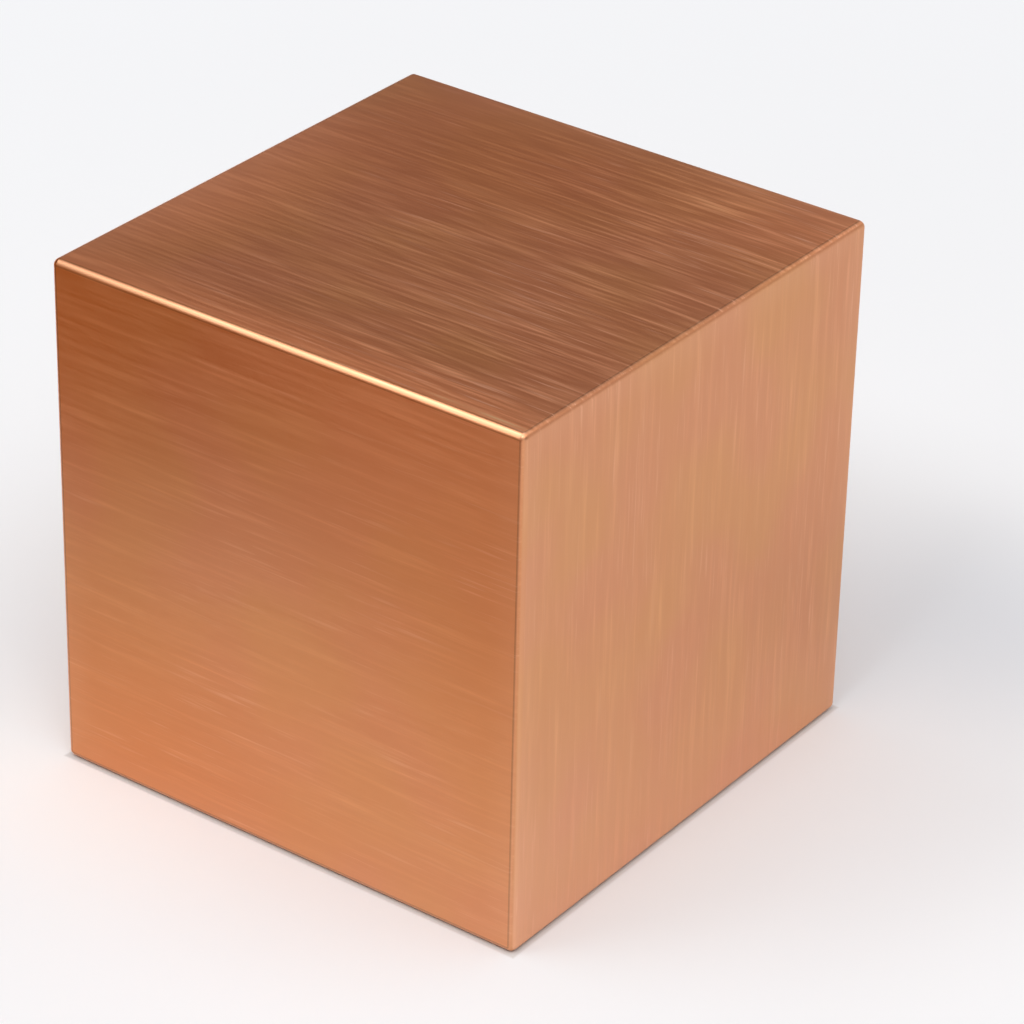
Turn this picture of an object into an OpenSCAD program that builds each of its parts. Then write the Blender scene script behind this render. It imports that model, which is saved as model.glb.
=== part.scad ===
// Solid copper cube: one block, ground flat on six faces, with every edge and corner eased to a radius.
// Millimetres. The cube stands on the plane z = 0, centred over the origin.
// +X runs to the right along the front face, +Y runs to the back and +Z is up.

/* [Block] */
// Side of the cube, measured from face to face
side = 50.8; // [10:0.1:101.6]

/* [Edges] */
// Radius that rounds each of the twelve edges and each of the eight corners
edge_radius = 0.7; // [0.2:0.05:2.5]

/* [Hidden] */

// Facets round a full turn of a rounded edge or corner in a preview
round_fn = 48;
// Copper as its brushed faces show it
copper = [0.80, 0.50, 0.33];
// Distance between the centres of two neighbouring corner balls
core = side - 2 * edge_radius;
// Turns that lay a piece drawn along Z along Z, along X and along Y
axis_turns = [[0, 0, 0], [0, 90, 0], [-90, 0, 0]];

// Two opposite ground faces: a plate as tall as the cube that stops where the edges begin to turn
module face_pair() {
    cube([core, core, side], center = true);
}

// Four parallel edges: a round bar for each, tangent to the two faces that meet there
module edge_bars() {
    for (x = [-1, 1], y = [-1, 1])
        translate([x * core / 2, y * core / 2, 0])
            cylinder(h = core, r = edge_radius, center = true, $fn = round_fn);
}

// Eight corners: a ball for each, which closes the ends of three edges
module corner_balls() {
    for (x = [-1, 1], y = [-1, 1], z = [-1, 1])
        translate([x * core / 2, y * core / 2, z * core / 2])
            sphere(r = edge_radius, $fn = round_fn);
}

// The whole block, stood on its underside
module copper_cube() {
    color(copper)
        translate([0, 0, side / 2])
            union() {
                for (turn = axis_turns)
                    rotate(turn) {
                        face_pair();
                        edge_bars();
                    }
                corner_balls();
            }
}

copper_cube();
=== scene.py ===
"""Solid copper cube with six brushed faces, rounded edges and ball corners, on a pale table.

Sizes are in metres, apart from the places of wear and painted light on the cube and the painted
patches on the table, which are in millimetres. The cube stands on z = 0, centred over the origin,
with +X to the right along the front face, +Y to the back and +Z up. An azimuth runs from the
front, at 0 degrees, round to the right side, at 90.
"""

import logging
import math
from dataclasses import dataclass
from enum import Enum

import bpy
import numpy as np
from mathutils import Matrix, Quaternion, Vector


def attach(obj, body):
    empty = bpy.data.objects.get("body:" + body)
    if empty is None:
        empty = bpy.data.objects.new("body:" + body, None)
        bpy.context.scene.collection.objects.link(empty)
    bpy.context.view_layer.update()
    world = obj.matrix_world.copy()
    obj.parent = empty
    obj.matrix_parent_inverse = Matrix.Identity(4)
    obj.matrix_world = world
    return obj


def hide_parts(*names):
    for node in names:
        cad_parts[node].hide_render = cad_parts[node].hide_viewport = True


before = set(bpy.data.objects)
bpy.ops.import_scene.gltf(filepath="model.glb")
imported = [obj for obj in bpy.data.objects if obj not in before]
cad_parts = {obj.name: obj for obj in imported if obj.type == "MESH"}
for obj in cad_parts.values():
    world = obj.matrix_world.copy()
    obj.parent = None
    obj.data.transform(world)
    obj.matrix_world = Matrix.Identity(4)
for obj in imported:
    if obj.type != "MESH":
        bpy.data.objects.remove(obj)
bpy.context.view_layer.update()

NODE = "copper_cube"
MM = 0.001
SIDE = 50.8 * MM
LOG = logging.getLogger("copper_cube")

Socket = bpy.types.NodeSocket
Source = Socket | float | tuple[float, ...]
Span = tuple[float, float]
Triple = tuple[float, float, float]
Colour = tuple[float, float, float]

# Levels of a ramp that fades out
GONE: Span = (1.0, 0.0)


def metres(millimetres: tuple[float, ...]) -> tuple[float, ...]:
    """Turn millimetres into metres."""
    return tuple(MM * part for part in millimetres)


def outward(azimuth: float, elevation: float = 0.0) -> Vector:
    """Point away from the cube.

    Args:
        azimuth: Angle round the cube from the front, in degrees.
        elevation: Angle above the table, in degrees.

    Returns:
        The direction, one long.
    """
    a, e = math.radians(azimuth), math.radians(elevation)
    return Vector((math.sin(a) * math.cos(e), -math.cos(a) * math.cos(e), math.sin(e)))


def put(name: str, data: bpy.types.ID) -> bpy.types.Object:
    """Put a mesh, lamp or camera into the scene.

    Args:
        name: Name of the new object.
        data: What it shows.

    Returns:
        The object, at the origin.
    """
    thing = bpy.data.objects.new(name, data)
    bpy.context.collection.objects.link(thing)
    return thing


class Kind(Enum):
    """What a mix is made of, by Blender's name for it."""

    NUMBER = "FLOAT"
    VECTOR = "VECTOR"
    COLOUR = "RGBA"


class NodeSheet:
    """Small helper that adds and wires the nodes of one material or world."""

    def __init__(self, owner: bpy.types.Material | bpy.types.World) -> None:
        """Switch the owner's nodes on and clear them.

        Args:
            owner: Material or world to work on.
        """
        owner.use_nodes = True
        self.tree = owner.node_tree
        self.tree.nodes.clear()

    def add(self, kind: str, **settings: str) -> bpy.types.Node:
        """Add a node.

        Args:
            kind: Blender's name of the node type, without the leading "ShaderNode".
            settings: Attributes to set on the node.

        Returns:
            The new node.
        """
        node = self.tree.nodes.new("ShaderNode" + kind)
        for name, value in settings.items():
            setattr(node, name, value)
        return node

    def feed(self, socket: Socket, source: Source) -> None:
        """Wire a socket from another socket, or set it to a plain value.

        Args:
            socket: Input to fill.
            source: Output socket, number, or tuple of numbers.
        """
        if isinstance(source, Socket):
            self.tree.links.new(source, socket)
        else:
            socket.default_value = source

    def maths(self, operation: str, *inputs: Source) -> Socket:
        """Add a Math node.

        Args:
            operation: Blender's name of the operation.
            inputs: Sockets or numbers for its inputs, in order.

        Returns:
            The result.
        """
        node = self.add("Math", operation=operation)
        for socket, source in zip(node.inputs, inputs):
            self.feed(socket, source)
        return node.outputs[0]

    def vector(self, operation: str, *inputs: Source) -> Socket:
        """Add a Vector Math node.

        Args:
            operation: Blender's name of the operation.
            inputs: Sockets or triples for its inputs, in order.

        Returns:
            The result: a number for a length, and otherwise a vector.
        """
        node = self.add("VectorMath", operation=operation)
        for socket, source in zip(node.inputs, inputs):
            self.feed(socket, source)
        return node.outputs["Value" if operation == "LENGTH" else "Vector"]

    def blend(self, kind: Kind, share: Source, low: Source, high: Source) -> Socket:
        """Mix two numbers, vectors or colours.

        Args:
            kind: What they are.
            share: Share of the second one, 0 to 1.
            low: What stands at 0.
            high: What stands at 1.

        Returns:
            The mix.
        """
        node = self.add("Mix", data_type=kind.value)
        enabled = [socket for socket in node.inputs if socket.enabled]
        for socket, source in zip(enabled, (share, low, high)):
            self.feed(socket, source)
        return next(socket for socket in node.outputs if socket.enabled)

    def ramp(self, value: Source, span: Span, ends: Span = (0.0, 1.0)) -> Socket:
        """Change smoothly from one level to another, level before and after.

        Args:
            value: What to read.
            span: Values between which the change takes place.
            ends: Levels before and after it.

        Returns:
            The level.
        """
        node = self.add("MapRange", interpolation_type="SMOOTHSTEP")
        for name, source in zip(("Value", "From Min", "From Max", "To Min", "To Max"),
                                (value, *span, *ends)):
            self.feed(node.inputs[name], source)
        return node.outputs["Result"]

    def parts(self, vector: Source) -> list[Socket]:
        """Split a vector.

        Args:
            vector: Vector to split.

        Returns:
            Its X, Y and Z.
        """
        node = self.add("SeparateXYZ")
        self.feed(node.inputs[0], vector)
        return list(node.outputs)

    def grey(self, value: Source) -> Socket:
        """Spread one value over three channels.

        Args:
            value: The value.

        Returns:
            A vector that holds it three times.
        """
        node = self.add("CombineXYZ")
        for socket in node.inputs:
            self.feed(socket, value)
        return node.outputs[0]

    def noise(self, place: Source, detail: float, roughness: float) -> Socket:
        """Add smooth noise with one feature for each unit of the place it reads.

        Args:
            place: Where to read the noise.
            detail: Number of finer layers.
            roughness: Strength of each layer against the one before it.

        Returns:
            The noise, about 0.5 on average.
        """
        node = self.add("TexNoise")
        inputs = {"Vector": place, "Scale": 1.0, "Detail": detail, "Roughness": roughness}
        for name, source in inputs.items():
            self.feed(node.inputs[name], source)
        return node.outputs[0]


class Lay(Enum):
    """Direction in which a face is brushed."""

    ALONG_X = (1.0, 0.0, 0.0)
    ALONG_Z = (0.0, 0.0, 1.0)


class Facing(Enum):
    """Face that a place of wear and painted light is on: its normal's axis and sign."""

    TOP = (2, 1.0)
    FRONT = (1, -1.0)
    RIGHT = (0, 1.0)


@dataclass(frozen=True)
class Stroke:
    """Size of one mark that the belt leaves."""

    width: float
    length: float


@dataclass(frozen=True)
class WearAndPaintedLightPlace:
    """Place on one face where the copper differs, partly through its own tarnish and wear and partly
    through painted light and shade.

    It is strongest in its middle and gone at its reach along X, Y and Z, all in millimetres.
    """

    facing: Facing
    middle: Triple
    reach: Triple
    strength: float


# Brighter copper on the top and front: partly burnish and partly a painted reflection of the room's
# light.
BURNISH_AND_PAINTED_REFLECTION = (
    WearAndPaintedLightPlace(Facing.TOP, middle=(-27.0, -6.0, 50.8), reach=(17.0, 28.0, 9.0), strength=0.95),
    WearAndPaintedLightPlace(Facing.TOP, middle=(4.0, -26.4, 50.8), reach=(56.0, 8.0, 9.0), strength=1.25),
    WearAndPaintedLightPlace(Facing.TOP, middle=(27.0, 22.0, 50.8), reach=(26.0, 18.0, 9.0), strength=0.60),
    WearAndPaintedLightPlace(Facing.FRONT, middle=(-26.0, -25.4, 44.0), reach=(18.0, 9.0, 26.0), strength=0.36),
    WearAndPaintedLightPlace(Facing.FRONT, middle=(10.0, -25.4, 50.8), reach=(40.0, 9.0, 20.0), strength=0.32),
)
# Paler copper: partly wear and partly painted sheen, as at the bottom of the right side, where it is a
# painted reflection of the table.
RUBBED_AND_PAINTED_SHEEN = (
    WearAndPaintedLightPlace(Facing.TOP, middle=(-27.0, -6.0, 50.8), reach=(12.0, 28.0, 9.0), strength=0.28),
    WearAndPaintedLightPlace(Facing.TOP, middle=(27.0, 27.0, 50.8), reach=(24.0, 9.0, 9.0), strength=0.14),
    WearAndPaintedLightPlace(Facing.RIGHT, middle=(25.4, -22.0, 0.0), reach=(9.0, 46.0, 30.0), strength=0.28),
    WearAndPaintedLightPlace(Facing.RIGHT, middle=(25.4, 14.0, 0.0), reach=(9.0, 30.0, 16.0), strength=0.13),
    WearAndPaintedLightPlace(Facing.FRONT, middle=(-26.0, -25.4, 44.0), reach=(20.0, 9.0, 24.0), strength=0.05),
    WearAndPaintedLightPlace(Facing.RIGHT, middle=(25.4, -25.4, 25.0), reach=(9.0, 22.0, 44.0), strength=0.03),
)
# Darker amber copper on the front and top: partly tarnish and partly painted shade.
TARNISH_AND_PAINTED_SHADE = (
    WearAndPaintedLightPlace(Facing.FRONT, middle=(27.0, -25.4, 34.0), reach=(36.0, 9.0, 46.0), strength=0.90),
    WearAndPaintedLightPlace(Facing.FRONT, middle=(-22.0, -25.4, 5.0), reach=(44.0, 9.0, 28.0), strength=1.05),
    WearAndPaintedLightPlace(Facing.TOP, middle=(-6.0, 14.0, 50.8), reach=(28.0, 20.0, 9.0), strength=0.60),
)


@dataclass(frozen=True)
class CubeSkin:
    """What the finish knows about each point of the cube.

    Place and normal are in the cube's own axes. Flatness is 1 on a face and falls to 0.7 halfway
    round an edge. The masks are 1 on the named faces, on faces brushed along Z, and away from the
    two sides.
    """

    place: Socket
    normal: Socket
    flatness: Socket
    facings: dict[Facing, Socket]
    upright: Socket
    along_belt: Socket


@dataclass(frozen=True)
class BrushedCopper:
    """Bare copper, ground with a fine belt: along X on four faces and along Z on the two sides.

    Colours: the ground wanders between rosy and ochre. Amber places are partly tarnish and partly
    painted shade, bright ones partly burnish and partly painted reflection, and pale ones partly wear
    and partly painted sheen; scratches are pale, and the edges along X are pale partly with wear and
    partly as a painted highlight.
    Levels: the noise levels between which a mark or a tone comes in.
    Outline: how much darker the narrow band is where an edge along X begins to turn, a painted shade line
    beside the edge highlight.
    """

    rosy: Colour = (0.716, 0.315, 0.160)
    ochre: Colour = (0.716, 0.334, 0.150)
    # Amber stands partly for tarnish and partly for painted shade; bright partly for burnish and partly
    # for painted reflection.
    amber: Colour = (0.675, 0.257, 0.098)
    bright: Colour = (0.980, 0.425, 0.205)
    pale: Colour = (0.980, 0.570, 0.380)
    cloud_size: float = 13.0 * MM
    cloud_level: Span = (0.36, 0.64)

    roughness: Span = (0.33, 0.39)
    roughness_level: Span = (0.3, 0.7)
    edge_roughness: float = 0.31
    anisotropy: float = 0.76

    broad_line: Stroke = Stroke(1.2 * MM, 17.0 * MM)
    fine_line: Stroke = Stroke(0.40 * MM, 9.0 * MM)
    broad_share: float = 0.8
    layer_strength: float = 0.75
    line_gain: float = 15.0
    line_skew: Span = (0.16, 0.92)
    line_tint: Colour = (0.63, 1.0, 1.38)
    line_depth: float = 0.005 * MM
    side_contrast: float = 0.0155
    top_contrast: Span = (0.018, 0.060)
    top_change: Span = (-22.0 * MM, 12.0 * MM)

    scratch: Stroke = Stroke(0.34 * MM, 8.0 * MM)
    scratch_level: Span = (0.58, 0.80)
    thin_scratch: Stroke = Stroke(0.17 * MM, 4.8 * MM)
    thin_scratch_level: Span = (0.62, 0.82)
    thin_scratch_strength: float = 0.7
    scratch_gain: float = 15.0
    group_level: Span = (0.4, 0.6)
    group_strength: Span = (1.0, 0.35)

    rim_width: float = 4.0 * MM
    # Paler rims round every edge: partly wear and partly painted sheen.
    rim_wear_and_sheen: float = 0.08
    foot_height: float = 18.0 * MM
    # Paler towards the foot: a painted reflection of the pale table.
    foot_painted_reflection: float = 0.06
    # Paler edges along X: partly wear and partly a painted highlight.
    edge_wear_and_highlight: float = 0.30
    # A painted shade line beside the highlight on the edges along X.
    painted_outline_shade: float = 0.34

    face_turn: Span = (0.65, 0.85)
    belt_turn: Span = (0.2, 0.6)
    edge_turn: Span = (0.88, 0.99)
    outline_outer_turn: Span = (0.90, 0.97)
    outline_inner_turn: Span = (0.993, 0.999)
    name: str = "brushed copper"

    def skin(self, sheet: NodeSheet) -> CubeSkin:
        """Find out where each point lies and which way it faces.

        Flatness is the longest of the normal's three parts.

        Args:
            sheet: Node tree to add to.

        Returns:
            The skin, which reads Object coordinates and the normal alone.
        """
        where = sheet.add("TexCoord")
        place, normal = where.outputs["Object"], where.outputs["Normal"]
        slopes = sheet.parts(normal)
        steepness = sheet.parts(sheet.vector("ABSOLUTE", normal))
        facings = {}
        for facing in Facing:
            axis, sign = facing.value
            facings[facing] = sheet.ramp(sheet.maths("MULTIPLY", slopes[axis], sign), self.face_turn)
        level_part = sheet.maths("MAXIMUM", steepness[0], steepness[1])
        return CubeSkin(
            place=place,
            normal=normal,
            flatness=sheet.maths("MAXIMUM", level_part, steepness[2]),
            facings=facings,
            upright=sheet.maths("GREATER_THAN", steepness[0], math.sqrt(0.5)),
            along_belt=sheet.ramp(steepness[0], self.belt_turn, GONE),
        )

    def brushing(self, sheet: NodeSheet, skin: CubeSkin, stroke: Stroke) -> Socket:
        """Draw noise out along the lay.

        Args:
            sheet: Node tree to add to.
            skin: The cube's skin.
            stroke: Size of one feature of the noise.

        Returns:
            The noise, about 0.5 on average.
        """
        across, along = 1.0 / stroke.width, 1.0 / stroke.length
        stretch = sheet.blend(Kind.VECTOR, skin.upright, (along, across, across), (across, across, along))
        return sheet.noise(sheet.vector("MULTIPLY", skin.place, stretch), 1.0, self.layer_strength)

    def contrast(self, sheet: NodeSheet, skin: CubeSkin) -> Socket:
        """Say how strongly lines and scratches show: most on the right half of the top.

        Args:
            sheet: Node tree to add to.
            skin: The cube's skin.

        Returns:
            The strength.
        """
        across_top = sheet.ramp(sheet.parts(skin.place)[0], self.top_change, self.top_contrast)
        return sheet.blend(Kind.NUMBER, skin.facings[Facing.TOP], self.side_contrast, across_top)

    def lines(self, sheet: NodeSheet, skin: CubeSkin, fine: Socket) -> Socket:
        """Add broad and fine brush lines up.

        Raw = gain x (share x broad + fine), moved so that its average is 0.
        Lines = raw x (first skew x raw + second skew), which lets bright lines stand out.

        Args:
            sheet: Node tree to add to.
            skin: The cube's skin.
            fine: Noise of the fine lines.

        Returns:
            The lines, about 0 on average.
        """
        broad = self.brushing(sheet, skin, self.broad_line)
        both = sheet.maths("MULTIPLY_ADD", broad, self.broad_share, fine)
        average = 0.5 * (1.0 + self.broad_share)
        raw = sheet.maths("MULTIPLY_ADD", both, self.line_gain, -self.line_gain * average)
        return sheet.maths("MULTIPLY", raw, sheet.maths("MULTIPLY_ADD", raw, *self.line_skew))

    def scratches(self, sheet: NodeSheet, skin: CubeSkin, clouds: Socket) -> Socket:
        """Scatter short pale scratches along the lay, in loose groups.

        Args:
            sheet: Node tree to add to.
            skin: The cube's skin.
            clouds: Noise that the groups follow.

        Returns:
            How scratched each point is, 0 to 1.
        """
        deep = sheet.ramp(self.brushing(sheet, skin, self.scratch), self.scratch_level)
        thin = sheet.ramp(self.brushing(sheet, skin, self.thin_scratch), self.thin_scratch_level,
                          (0.0, self.thin_scratch_strength))
        groups = sheet.ramp(clouds, self.group_level, self.group_strength)
        return sheet.maths("MULTIPLY", sheet.maths("MAXIMUM", deep, thin), groups)

    def rims(self, sheet: NodeSheet, skin: CubeSkin) -> Socket:
        """Say how close each point lies to the nearest edge.

        On a face one of the three distances from the middle is half the side, and the next largest
        one, their median, tells how near the nearest edge is.

        Args:
            sheet: Node tree to add to.
            skin: The cube's skin.

        Returns:
            0 a rim's width away from the edge, and 1 on it.
        """
        from_middle = sheet.vector("SUBTRACT", skin.place, (0.0, 0.0, SIDE / 2))
        a, b, c = sheet.parts(sheet.vector("ABSOLUTE", from_middle))
        smaller, larger = sheet.maths("MINIMUM", a, b), sheet.maths("MAXIMUM", a, b)
        median = sheet.maths("MAXIMUM", smaller, sheet.maths("MINIMUM", larger, c))
        return sheet.ramp(median, (SIDE / 2 - self.rim_width, SIDE / 2))

    def wear_and_painted_light(self, sheet: NodeSheet, skin: CubeSkin, places: tuple[WearAndPaintedLightPlace, ...]) -> Socket:
        """Add places of wear and painted light up.

        Args:
            sheet: Node tree to add to.
            skin: The cube's skin.
            places: The places to add up.

        Returns:
            Their strength at each point.
        """
        total: Source = 0.0
        for spot in places:
            offset = sheet.vector("SUBTRACT", skin.place, metres(spot.middle))
            distance = sheet.vector("LENGTH", sheet.vector("DIVIDE", offset, metres(spot.reach)))
            near = sheet.ramp(distance, (0.0, 1.0), (spot.strength, 0.0))
            total = sheet.maths("MULTIPLY_ADD", near, skin.facings[spot.facing], total)
        return total

    def ground(self, sheet: NodeSheet, skin: CubeSkin, clouds: Socket, lines: Socket) -> Socket:
        """Colour the copper, before anything pale lies on it: its tones, tarnish and burnish, which
        partly carry painted shade and painted reflection, and a painted shade line beside the highlight
        on each edge along X.

        Ground = copper colour x (1 + line tint x lines) x (1 - painted shade line).

        Args:
            sheet: Node tree to add to.
            skin: The cube's skin.
            clouds: Noise that the two tones follow.
            lines: Brush lines times their contrast.

        Returns:
            The colour.
        """
        share = sheet.ramp(clouds, self.cloud_level)
        bare = sheet.blend(Kind.COLOUR, share, (*self.rosy, 1.0), (*self.ochre, 1.0))
        # Amber: partly tarnish, partly painted shade. Bright: partly burnish, partly painted reflection.
        for colour, places in ((self.amber, TARNISH_AND_PAINTED_SHADE), (self.bright, BURNISH_AND_PAINTED_REFLECTION)):
            bare = sheet.blend(Kind.COLOUR, self.wear_and_painted_light(sheet, skin, places), bare, (*colour, 1.0))
        tint = sheet.vector("MULTIPLY_ADD", sheet.grey(lines), self.line_tint, (1.0, 1.0, 1.0))
        # Painted shade: a thin dark line where each edge along X begins to turn, beside its highlight.
        band = sheet.maths("MULTIPLY", sheet.ramp(skin.flatness, self.outline_inner_turn, GONE),
                           sheet.ramp(skin.flatness, self.outline_outer_turn))
        dark = sheet.maths("MULTIPLY", sheet.maths("MULTIPLY", band, skin.along_belt), -self.painted_outline_shade)
        shade = sheet.vector("MULTIPLY", tint, sheet.grey(sheet.maths("ADD", dark, 1.0)))
        return sheet.vector("MULTIPLY", bare, shade)

    def paleness(self, sheet: NodeSheet, skin: CubeSkin, marks: Socket, edges: Socket) -> Socket:
        """Add up all that lightens the copper: scratches; pale places, partly wear and partly painted
        sheen; a painted reflection of the table, paler towards the foot; rims, partly wear and partly
        painted sheen; and edges along X, partly wear and partly a painted highlight.

        Args:
            sheet: Node tree to add to.
            skin: The cube's skin.
            marks: Scratches times their contrast.
            edges: Mask of the rounded edges that run along X.

        Returns:
            Share of the pale colour.
        """
        scratched = sheet.maths("MULTIPLY", marks, self.scratch_gain)
        # Pale places: partly wear and partly painted sheen.
        rubbed_and_sheen = sheet.maths("ADD", scratched, self.wear_and_painted_light(sheet, skin, RUBBED_AND_PAINTED_SHEEN))
        height = sheet.parts(skin.place)[2]
        # Painted reflection of the pale table: the copper is paler towards the foot.
        foot = sheet.ramp(height, (0.0, self.foot_height), (self.foot_painted_reflection, 0.0))
        footed = sheet.maths("ADD", rubbed_and_sheen, foot)
        # Paler rims round every edge: partly wear and partly painted sheen.
        rimmed = sheet.maths("MULTIPLY_ADD", self.rims(sheet, skin), self.rim_wear_and_sheen, footed)
        # Paler edges along X: partly wear and partly a painted highlight.
        return sheet.maths("MULTIPLY_ADD", edges, self.edge_wear_and_highlight, rimmed)

    def material(self) -> bpy.types.Material:
        """Build the material.

        The highlight is stretched across the lay, so the shader's tangent lies across it too, and
        the fine lines stand up as bumps.

        Returns:
            The material.
        """
        material = bpy.data.materials.new(self.name)
        sheet = NodeSheet(material)
        skin = self.skin(sheet)
        fine = self.brushing(sheet, skin, self.fine_line)
        scaled = sheet.vector("MULTIPLY", skin.place, (1.0 / self.cloud_size,) * 3)
        clouds = sheet.noise(scaled, 1.0, 0.5)
        contrast = self.contrast(sheet, skin)
        lines = sheet.maths("MULTIPLY", self.lines(sheet, skin, fine), contrast)
        marks = sheet.maths("MULTIPLY", self.scratches(sheet, skin, clouds), contrast)
        turning = sheet.ramp(skin.flatness, self.edge_turn, GONE)
        edges = sheet.maths("MULTIPLY", turning, skin.along_belt)
        ground = self.ground(sheet, skin, clouds, lines)
        pale = self.paleness(sheet, skin, marks, edges)
        rough = sheet.ramp(fine, self.roughness_level, self.roughness)
        lay = sheet.blend(Kind.VECTOR, skin.upright, Lay.ALONG_X.value, Lay.ALONG_Z.value)
        across = sheet.vector("CROSS_PRODUCT", skin.normal, lay)

        bump = sheet.add("Bump")
        bump.inputs["Strength"].default_value = 1.0
        bump.inputs["Distance"].default_value = self.line_depth
        sheet.feed(bump.inputs["Height"], fine)

        shader = sheet.add("BsdfPrincipled")
        shader.inputs["Metallic"].default_value = 1.0
        shader.inputs["Anisotropic"].default_value = self.anisotropy
        wired = {
            "Base Color": sheet.blend(Kind.COLOUR, pale, ground, (*self.pale, 1.0)),
            "Roughness": sheet.blend(Kind.NUMBER, edges, rough, self.edge_roughness),
            "Tangent": sheet.vector("NORMALIZE", across),
            "Normal": bump.outputs[0],
        }
        for name, source in wired.items():
            sheet.feed(shader.inputs[name], source)
        sheet.feed(sheet.add("OutputMaterial").inputs[0], shader.outputs[0])
        return material


@dataclass(frozen=True)
class CubeBlock:
    """The block: six flat faces, twelve rounded edges and eight ball corners, in one closed skin.

    Fall off is how far a face falls away at its edges, over the fall width. Points nearer to each
    other than the weld are one.
    """

    edge_radius: float = 0.7 * MM
    fall_off: float = 0.06 * MM
    fall_width: float = 6.0 * MM
    flat_steps: int = 48
    arc_steps: int = 8
    weld: float = 0.0005 * MM
    finish: BrushedCopper = BrushedCopper()
    name: str = "brushed_cube"

    @property
    def core(self) -> float:
        """Half the distance between the centres of two neighbouring corner balls."""
        return SIDE / 2 - self.edge_radius

    def grid_lines(self) -> tuple[np.ndarray, np.ndarray]:
        """Place the grid lines that cross one face from edge to edge.

        On the flat they stand at equal steps over the core. On each rounded edge they stand at
        its centre and their normals lean out by equal angles, up to 45 degrees.

        Returns:
            Each line's place on the core, in metres, and the slope that its normal leans by.
        """
        lean = np.tan(np.linspace(math.pi / 4, 0.0, self.arc_steps, endpoint=False))
        flat = np.linspace(-self.core, self.core, self.flat_steps + 1)
        ends = np.full(self.arc_steps, self.core)
        place = np.concatenate([-ends, flat, ends])
        slope = np.concatenate([-lean, np.zeros_like(flat), lean[::-1]])
        return place, slope

    def face(self, axis: int, sign: int) -> tuple[np.ndarray, np.ndarray]:
        """Work out one face with its half of the rounded edges round it.

        Unit normal = (slope across, slope along, 1) made one long.
        Point = place on the core + edge radius x unit normal.

        Args:
            axis: Axis that the face is square to, 0 to 2.
            sign: End of that axis, -1 or 1.

        Returns:
            Points and unit normals, each a grid of (n, n, 3), about the cube's centre.
        """
        place, slope = self.grid_lines()
        u, v = np.meshgrid(place, place, indexing="ij")
        lean_u, lean_v = np.meshgrid(slope, slope, indexing="ij")
        normal = np.stack([lean_u, lean_v, np.ones_like(u)], axis=-1)
        normal /= np.linalg.norm(normal, axis=-1, keepdims=True)
        point = np.stack([u, v, np.full_like(u, self.core)], axis=-1) + self.edge_radius * normal
        turned = np.roll(np.arange(3), -(axis + 1))
        points, normals = np.empty_like(point), np.empty_like(normal)
        points[..., turned], normals[..., turned] = point, normal
        if sign < 0:
            points[..., axis] *= -1
            normals[..., axis] *= -1
            points, normals = points[::-1], normals[::-1]
        return points, normals

    def ease(self, points: np.ndarray, normals: np.ndarray) -> tuple[np.ndarray, np.ndarray]:
        """Let each face fall away a little towards its edges, as a hand-held grind leaves it.

        near(t) = square of how far t lies into the last fall_width of the side, 0 to 1.
        Sink = fall_off x (sum of the three pairs of near() - 2 x product of all three), along the
        normal. It is nothing on the flat, and fall_off on every edge and corner.

        Args:
            points: Points about the cube's centre.
            normals: Their unit normals.

        Returns:
            The points moved in, and unit normals turned by the slope of the sink.
        """
        reach = np.clip((np.abs(points) - SIDE / 2 + self.fall_width) / self.fall_width, 0, 1)
        near = reach**2
        rise = 2 * reach * np.sign(points) / self.fall_width
        after, last = np.roll(near, -1, axis=-1), np.roll(near, -2, axis=-1)
        pairs = (near * after).sum(axis=-1, keepdims=True)
        sink = pairs - 2 * near.prod(axis=-1, keepdims=True)
        climb = rise * (after + last - 2 * after * last)
        climb -= (climb * normals).sum(axis=-1, keepdims=True) * normals
        eased = normals + self.fall_off * climb
        eased /= np.linalg.norm(eased, axis=-1, keepdims=True)
        return points - self.fall_off * sink * normals, eased

    def mesh(self) -> bpy.types.Mesh:
        """Join the six faces where they meet, halfway round each edge, into one closed mesh.

        Returns:
            The mesh, with its exact normals.
        """
        grids = [self.face(axis, sign) for axis in range(3) for sign in (-1, 1)]
        points = np.concatenate([point.reshape(-1, 3) for point, _ in grids])
        normals = np.concatenate([normal.reshape(-1, 3) for _, normal in grids])
        points, normals = self.ease(points, normals)
        points[:, 2] += SIDE / 2
        count = grids[0][0].shape[0]
        index = np.arange(len(points)).reshape(-1, count, count)
        quads = np.stack([index[:, :-1, :-1], index[:, 1:, :-1], index[:, 1:, 1:],
                          index[:, :-1, 1:]], axis=-1)
        _, first, joined = np.unique(np.round(points / self.weld).astype(np.int64), axis=0,
                                     return_index=True, return_inverse=True)
        quads = joined.reshape(-1)[quads.reshape(-1, 4)]
        mesh = bpy.data.meshes.new(self.name)
        mesh.from_pydata(points[first].tolist(), [], quads.tolist())
        mesh.shade_smooth()
        mesh.normals_split_custom_set_from_vertices(normals[first].tolist())
        mesh.validate()
        return mesh

    def build(self) -> bpy.types.Object:
        """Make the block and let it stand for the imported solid.

        Returns:
            The finished piece.
        """
        block = put(self.name, self.mesh())
        block.data.materials.append(self.finish.material())
        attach(block, "root")
        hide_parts(NODE)
        return block


@dataclass(frozen=True)
class PaintedPatch:
    """Round patch painted on the board, lighter or darker, fading out round its middle.

    Its middle and its reach along X and Y are in millimetres.
    """

    middle: Span
    reach: Span
    colour: Colour


PAINTED_LIGHT_AND_SHADOW = (
    # A painted pool of light in front of the cube, on the left.
    PaintedPatch(middle=(-23.0, -29.0), reach=(34.0, 22.0), colour=(0.985, 0.985, 1.0)),
    # A painted shadow behind the right side of the cube.
    PaintedPatch(middle=(31.0, 50.0), reach=(30.0, 30.0), colour=(0.76, 0.79, 0.84)),
)


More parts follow.
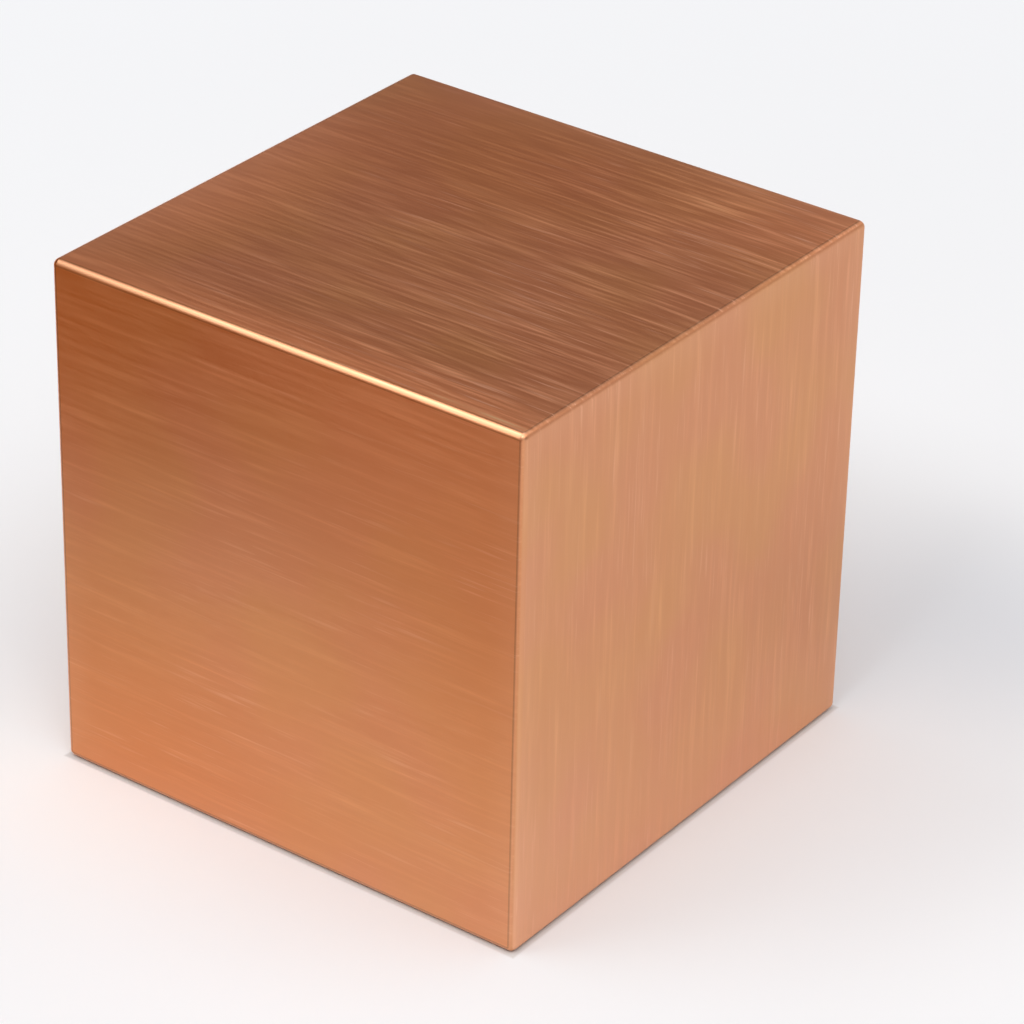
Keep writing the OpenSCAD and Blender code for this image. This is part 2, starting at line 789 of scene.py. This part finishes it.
@dataclass(frozen=True)
class Floor:
    """Pale table top under the cube, wide enough to fill the view from every side.

    It turns into the backdrop's colour over the fade, measured from the middle of the cube.
    """

    half_width: float = 6.0
    sunk: float = 0.01 * MM
    colour: Colour = (0.895, 0.92, 0.955)
    far_colour: Colour = (0.92, 0.93, 0.955)
    fade: Span = (0.05, 0.30)
    # Width and colour of the painted contact shadow round the foot of the block.
    painted_foot_shadow: float = 0.35 * MM
    painted_foot_shadow_colour: Colour = (0.72, 0.71, 0.71)

    def build(self) -> bpy.types.Object:
        """Lay the table top.

        Returns:
            The table top, which is stage and not part of the cube.
        """
        w, z = self.half_width, -self.sunk
        mesh = bpy.data.meshes.new("table_top")
        mesh.from_pydata([(-w, -w, z), (w, -w, z), (w, w, z), (-w, w, z)], [], [(0, 1, 2, 3)])
        mesh.materials.append(self.material())
        table = put("table_top", mesh)
        return table

    def tone(self, sheet: NodeSheet, place: Socket) -> Socket:
        """Colour the board, with a painted pool of light, a painted shadow and a painted contact shadow
        round the foot of the block.

        Args:
            sheet: Node tree to add to.
            place: Object coordinates.

        Returns:
            The colour.
        """
        tone: Source = (*self.colour, 1.0)
        for patch in PAINTED_LIGHT_AND_SHADOW:
            offset = sheet.vector("SUBTRACT", place, (*metres(patch.middle), 0.0))
            scaled = sheet.vector("DIVIDE", offset, (*metres(patch.reach), 1.0))
            near = sheet.ramp(sheet.vector("LENGTH", scaled), (0.0, 1.0), GONE)
            tone = sheet.blend(Kind.COLOUR, near, tone, (*patch.colour, 1.0))
        x, y, _ = sheet.parts(sheet.vector("ABSOLUTE", place))
        # Painted contact shadow: a dark band round the foot of the block.
        painted_foot_shadow = sheet.ramp(sheet.maths("MAXIMUM", x, y), (SIDE / 2, SIDE / 2 + self.painted_foot_shadow), GONE)
        return sheet.blend(Kind.COLOUR, painted_foot_shadow, tone, (*self.painted_foot_shadow_colour, 1.0))

    def material(self) -> bpy.types.Material:
        """Build matt white board, which far off turns into the plain pale backdrop.

        Returns:
            The material.
        """
        material = bpy.data.materials.new("matt white board")
        sheet = NodeSheet(material)
        place = sheet.add("TexCoord").outputs["Object"]
        far = sheet.ramp(sheet.vector("LENGTH", place), self.fade)
        path = sheet.add("LightPath").outputs
        mirrored = sheet.maths("MAXIMUM", path["Is Glossy Ray"], path["Is Transmission Ray"])
        seen = sheet.maths("MAXIMUM", path["Is Camera Ray"], mirrored)
        board = sheet.add("BsdfDiffuse")
        sheet.feed(board.inputs["Color"], self.tone(sheet, place))
        backdrop = sheet.add("Emission")
        backdrop.inputs["Color"].default_value = (*self.far_colour, 1.0)
        mixed = sheet.add("MixShader")
        wired = (sheet.maths("MULTIPLY", far, seen), board.outputs[0], backdrop.outputs[0])
        for socket, source in zip(mixed.inputs, wired):
            sheet.feed(socket, source)
        sheet.feed(sheet.add("OutputMaterial").inputs[0], mixed.outputs[0])
        return material


@dataclass(frozen=True)
class SoftBox:
    """Rectangular diffused lamp that faces the middle of the cube, leaning about its own axis."""

    name: str
    azimuth: float
    elevation: float
    width: float
    height: float
    radiance: float
    colour: Colour = (1.0, 1.0, 1.0)
    lean: float = 0.0
    distance: float = 1.0

    def build(self) -> bpy.types.Object:
        """Hang the lamp and turn it to the cube. Its power is radiance x pi x its area.

        Returns:
            The lamp.
        """
        away = outward(self.azimuth, self.elevation)
        lean = Quaternion((0, 0, 1), math.radians(self.lean))
        light = bpy.data.lights.new(self.name, "AREA")
        light.shape = "RECTANGLE"
        light.size, light.size_y = self.width, self.height
        light.energy = self.radiance * math.pi * self.width * self.height
        light.color = self.colour
        lamp = put(self.name, light)
        lamp.location = away * self.distance + Vector((0.0, 0.0, SIDE / 2))
        lamp.rotation_mode = "QUATERNION"
        lamp.rotation_quaternion = away.to_track_quat("Z", "Y") @ lean
        return lamp


LAMPS = (
    SoftBox("strip light", azimuth=314, elevation=45, width=0.246, height=1.563, radiance=2.06,
            colour=(1.0, 1.0, 0.96), lean=36),
    SoftBox("front softbox", azimuth=45, elevation=45, width=0.389, height=0.389, radiance=2.25,
            colour=(0.95, 1.0, 1.04)),
    SoftBox("small front lamp", azimuth=5, elevation=50, width=0.21, height=0.21, radiance=7.1),
    SoftBox("back softbox", azimuth=205, elevation=76, width=0.425, height=0.281, radiance=1.05,
            colour=(0.87, 1.0, 1.1)),
)


@dataclass(frozen=True)
class BrownCard:
    """Brown card that stands out of sight in front of the cube and only shows in its polish.

    Left and right are how far it reaches to either side of its azimuth.
    """

    azimuth: float = 325.0
    distance: float = 81.0 * MM
    left: float = 102.0 * MM
    right: float = 140.0 * MM
    height: float = 64.0 * MM
    colour: Colour = (0.317, 0.118, 0.0)

    def build(self) -> bpy.types.Object:
        """Stand the card on the table, facing the cube.

        Returns:
            The card, which is stage and not part of the cube.
        """
        away = outward(self.azimuth)
        middle = away * self.distance
        rightward = Vector((0.0, 0.0, 1.0)).cross(away)
        left, right = middle - rightward * self.left, middle + rightward * self.right
        rise = Vector((0.0, 0.0, self.height))
        mesh = bpy.data.meshes.new("brown_card")
        mesh.from_pydata([left, right, right + rise, left + rise], [], [(0, 1, 2, 3)])
        mesh.materials.append(self.material())
        card = put("brown_card", mesh)
        card.visible_camera = card.visible_diffuse = card.visible_shadow = False
        return card

    def material(self) -> bpy.types.Material:
        """Build the card's plain brown, at the level at which it shines back.

        Returns:
            The material.
        """
        material = bpy.data.materials.new("brown card")
        sheet = NodeSheet(material)
        paint = sheet.add("Emission")
        paint.inputs["Color"].default_value = (*self.colour, 1.0)
        sheet.feed(sheet.add("OutputMaterial").inputs[0], paint.outputs[0])
        return material


@dataclass(frozen=True)
class Glow:
    """Soft light from one part of the room.

    It comes in between two heights above the horizon and goes out between two others, in degrees.
    Round the horizon it is full at its azimuth and nothing on the opposite side, and tightness
    says how quickly it fades between them: 0 is the same all round.
    """

    name: str
    colour: Colour
    rise: Span
    fall: Span
    azimuth: float = 0.0
    tightness: float = 0.0

    def light(self, sheet: NodeSheet, direction: list[Socket], height: Socket) -> Socket:
        """Light every direction.

        Strength = (in at rise) x (out at fall) x ((1 + cosine of angle from azimuth) / 2) ^ tightness.

        Args:
            sheet: Node tree of the world.
            direction: X, Y and Z of the direction looked in.
            height: Height above the horizon, in degrees.

        Returns:
            The colour of the light.
        """
        rising, falling = sheet.ramp(height, self.rise), sheet.ramp(height, self.fall, GONE)
        share = sheet.maths("MULTIPLY", rising, falling)
        if self.tightness:
            x, y, z = direction
            ahead = outward(self.azimuth)
            forward = sheet.maths("ADD", sheet.maths("MULTIPLY", x, ahead.x),
                                  sheet.maths("MULTIPLY", y, ahead.y))
            # The part of the direction along the horizon, kept just above nothing overhead.
            level = sheet.maths("SQRT", sheet.maths("SUBTRACT", 1.0001, sheet.maths("MULTIPLY", z, z)))
            turn = sheet.maths("MULTIPLY_ADD", sheet.maths("DIVIDE", forward, level), 0.5, 0.5)
            share = sheet.maths("MULTIPLY", share, sheet.maths("POWER", turn, self.tightness))
        return sheet.vector("MULTIPLY", sheet.grey(share), self.colour)


GLOWS = (
    Glow("pale sweep", colour=(0.88, 0.89, 0.91), rise=(-91, -90), fall=(8, 18)),
    Glow("brown wall behind", colour=(0.145, 0.039, 0.0), rise=(8, 18), fall=(38, 50),
         azimuth=216, tightness=1),
    Glow("brown ceiling behind", colour=(0.105, 0.044, 0.0), rise=(38, 50), fall=(60, 72),
         azimuth=216, tightness=1),
    Glow("bright side wall", colour=(0.60, 0.56, 0.53), rise=(8, 18), fall=(28, 58),
         azimuth=135, tightness=3),
    Glow("high window", colour=(2.14, 2.13, 2.11), rise=(38, 50), fall=(60, 72),
         azimuth=36, tightness=1),
    Glow("ceiling", colour=(1.17, 1.19, 1.20), rise=(60, 72), fall=(91, 92)),
)


@dataclass(frozen=True)
class Surroundings:
    """Room round the table, made of its glows."""

    name: str = "room"

    def build(self) -> bpy.types.World:
        """Add the glows up into the world's light.

        Returns:
            The world.
        """
        world = bpy.data.worlds.new(self.name)
        bpy.context.scene.world = world
        sheet = NodeSheet(world)
        direction = sheet.parts(sheet.add("TexCoord").outputs["Generated"])
        height = sheet.maths("DEGREES", sheet.maths("ARCSINE", direction[2]))
        total: Source = (0.0, 0.0, 0.0)
        for glow in GLOWS:
            total = sheet.vector("ADD", total, glow.light(sheet, direction, height))
            LOG.info("%s is lit by the %s", self.name, glow.name)
        background = sheet.add("Background")
        sheet.feed(background.inputs["Color"], total)
        sheet.feed(sheet.add("OutputWorld").inputs[0], background.outputs[0])
        return world


@dataclass(frozen=True)
class ViewCamera:
    """Long lens that looks down on the near corner of the cube.

    Nearest and farthest are the distances between which it sees.
    """

    azimuth: float = 35.97
    elevation: float = 29.83
    roll: float = 1.345
    distance: float = 7.729 * SIDE
    aim: Triple = (0.0832 * SIDE, 0.0426 * SIDE, 0.4713 * SIDE)
    lens: float = 153.74
    sensor: float = 36.0
    nearest: float = 0.01
    farthest: float = 50.0

    def build(self) -> bpy.types.Object:
        """Stand the camera at its distance from the aim, and roll it about its own axis.

        Returns:
            The camera.
        """
        back = outward(self.azimuth, self.elevation)
        right = Vector((0, 0, 1)).cross(back).normalized()
        up = back.cross(right)
        roll = Matrix.Rotation(math.radians(self.roll), 3, "Z")
        turn = Matrix((right, up, back)).transposed() @ roll
        data = bpy.data.cameras.new("view")
        data.lens, data.sensor_width = self.lens, self.sensor
        data.clip_start, data.clip_end = self.nearest, self.farthest
        camera = put("view", data)
        stand = Matrix.Translation(Vector(self.aim) + back * self.distance)
        camera.matrix_world = stand @ turn.to_4x4()
        bpy.context.scene.camera = camera
        return camera


def main() -> None:
    """Build the camera and the cube, then its table, light and card, and report each of them."""
    logging.basicConfig(level=logging.INFO, format="%(name)s: %(message)s")
    bpy.context.scene.view_settings.view_transform = "Standard"
    for maker in (ViewCamera(), CubeBlock(), Floor(), Surroundings(), BrownCard(), *LAMPS):
        made = maker.build()
        LOG.info("%s made the %s", type(maker).__name__, made.name)


if __name__ == "__main__":
    main()
